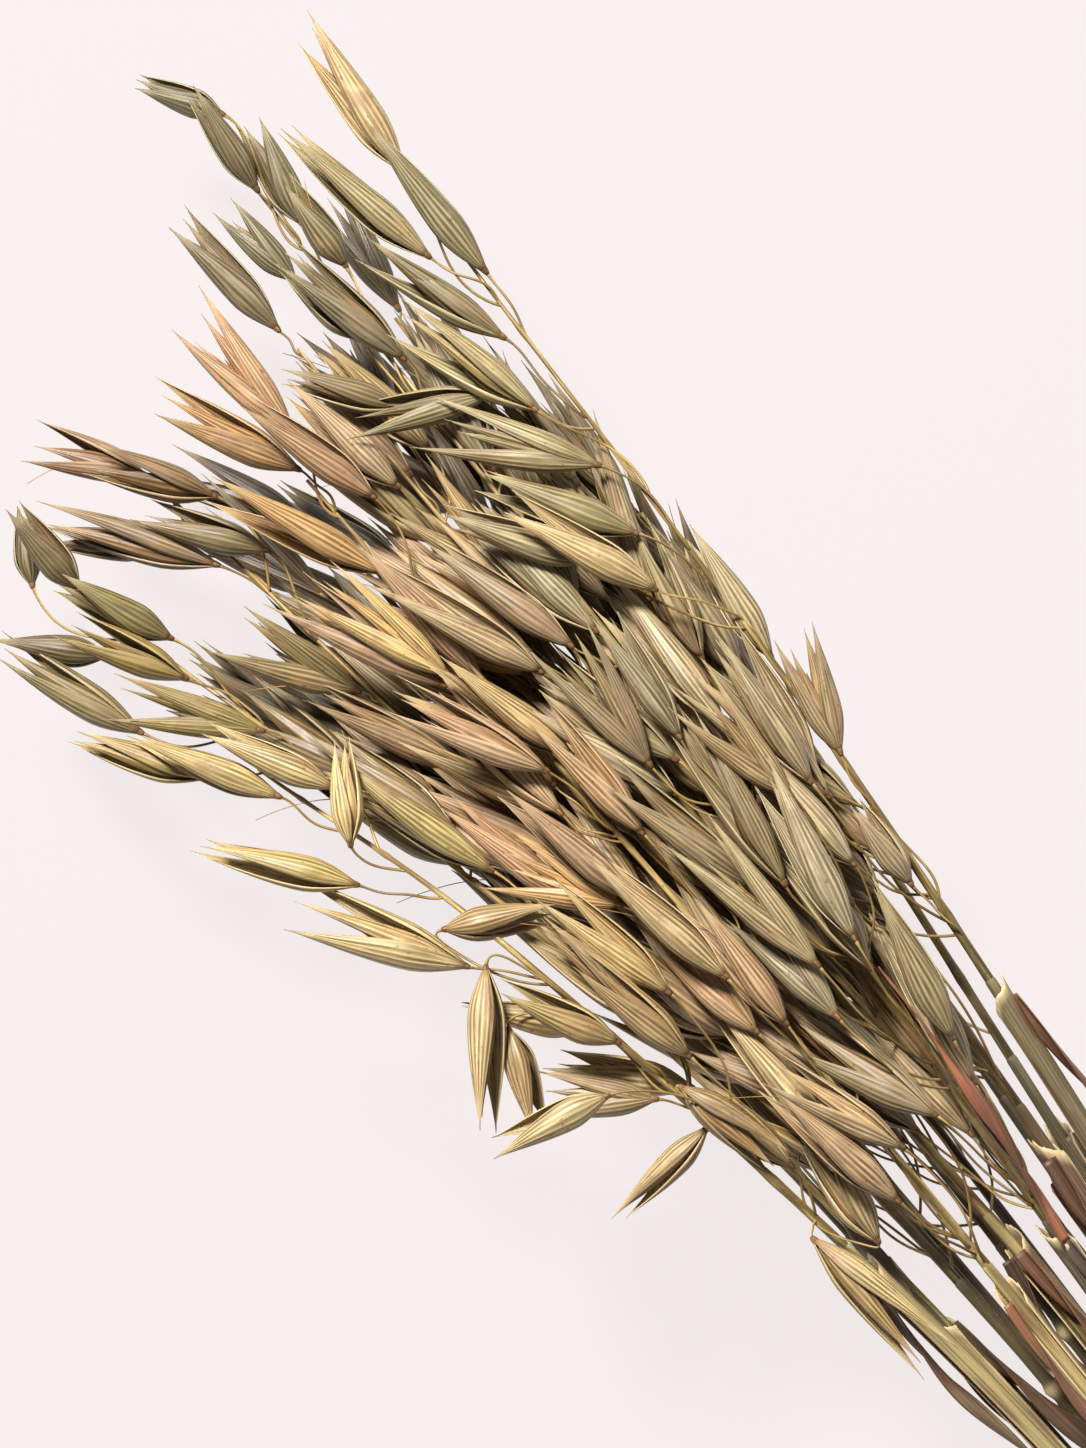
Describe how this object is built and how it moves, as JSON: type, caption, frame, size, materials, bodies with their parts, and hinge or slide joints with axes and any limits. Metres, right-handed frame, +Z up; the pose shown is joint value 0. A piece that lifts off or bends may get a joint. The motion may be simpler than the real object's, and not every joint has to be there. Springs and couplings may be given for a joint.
{
  "type": "dried oat bunch",
  "caption": "Tied bunch of dried common oats lying on its side: straw stems with leaf sheaths, fanned panicles of papery spikelets and a plain twine tie.",
  "frame": {"origin": "the middle of the bunch's bottom, on the surface that it lies on", "axes": "+Z is up. X runs along the bunch: -X to the tips of the panicles, +X to the cut ends of the stems. +Y is across the bunch."},
  "size_m": [0.5654, 0.0932, 0.0616],
  "materials": {
    "straw": "dry straw culm with fine lengthwise ribs and a slight sheen",
    "glume": "papery ribbed glumes, straw to golden and grey-green, matt",
    "husk": "dry leaf sheath, red-brown to straw, fibrous",
    "twine": "natural jute twine, matt"
  },
  "bodies": {
    "root": {"stem_01": "straw", "stem_02": "straw", "stem_03": "straw", "stem_04": "straw", "stem_05": "straw", "stem_06": "straw", "stem_07": "straw", "stem_08": "straw", "stem_09": "straw", "stem_10": "straw", "stem_11": "straw", "stem_12": "straw", "stem_13": "straw", "stem_14": "straw", "stem_15": "straw", "stem_16": "straw", "stem_17": "straw", "stem_18": "straw", "panicle_01": "glume", "panicle_02": "glume", "panicle_03": "glume", "panicle_04": "glume", "panicle_05": "glume", "panicle_06": "glume", "panicle_07": "glume", "panicle_08": "glume", "panicle_09": "glume", "panicle_10": "glume", "panicle_11": "glume", "panicle_12": "glume", "panicle_13": "glume", "panicle_14": "glume", "panicle_15": "glume", "panicle_16": "glume", "panicle_17": "glume", "panicle_18": "glume", "sheath_01": "husk", "sheath_02": "husk", "sheath_03": "husk", "sheath_04": "husk", "sheath_05": "husk", "sheath_07": "husk", "sheath_09": "husk", "sheath_10": "husk", "sheath_15": "husk", "sheath_18": "husk", "tie": "twine"}
  },
  "joints": []
}
